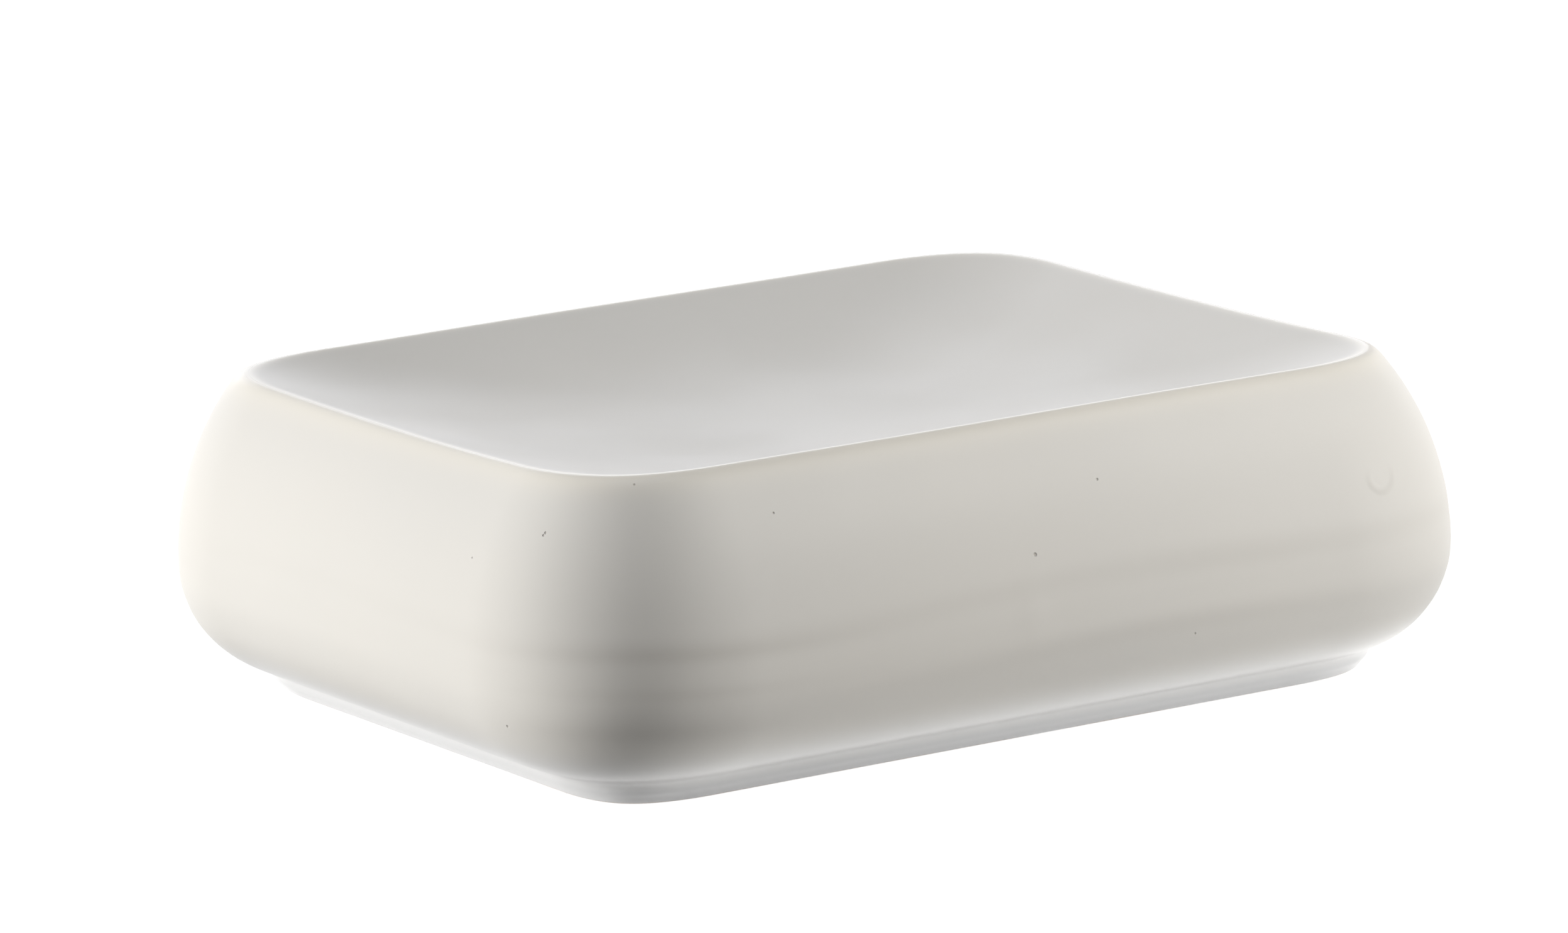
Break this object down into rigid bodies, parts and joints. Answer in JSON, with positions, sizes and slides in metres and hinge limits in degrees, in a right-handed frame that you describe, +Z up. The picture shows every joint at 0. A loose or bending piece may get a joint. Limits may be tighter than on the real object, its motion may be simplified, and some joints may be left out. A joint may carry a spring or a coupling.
{
  "type": "soap dish",
  "caption": "Hollow ceramic soap dish shaped like a rounded pillow, with a shallow concave basin, a low coved foot ring and soft non-slip pads underneath.",
  "frame": {"origin": "on the table plane, under the middle of the dish, where the pads' lower faces lie", "axes": "+X along the long sides, +Y towards the back long side, +Z up"},
  "size_m": [0.13, 0.11, 0.0392],
  "materials": {
    "glazed_stoneware": "satin-gloss ivory white glaze, bare pale clay on the foot's resting edge",
    "soft_pad": "matt, slightly milky",
    "soft_plug": "matt white"
  },
  "bodies": {
    "root": {"dish_body": "glazed_stoneware", "pad_front_left": "soft_pad", "pad_front_right": "soft_pad", "pad_back_left": "soft_pad", "pad_back_right": "soft_pad", "vent_plug": "soft_plug"}
  },
  "joints": []
}
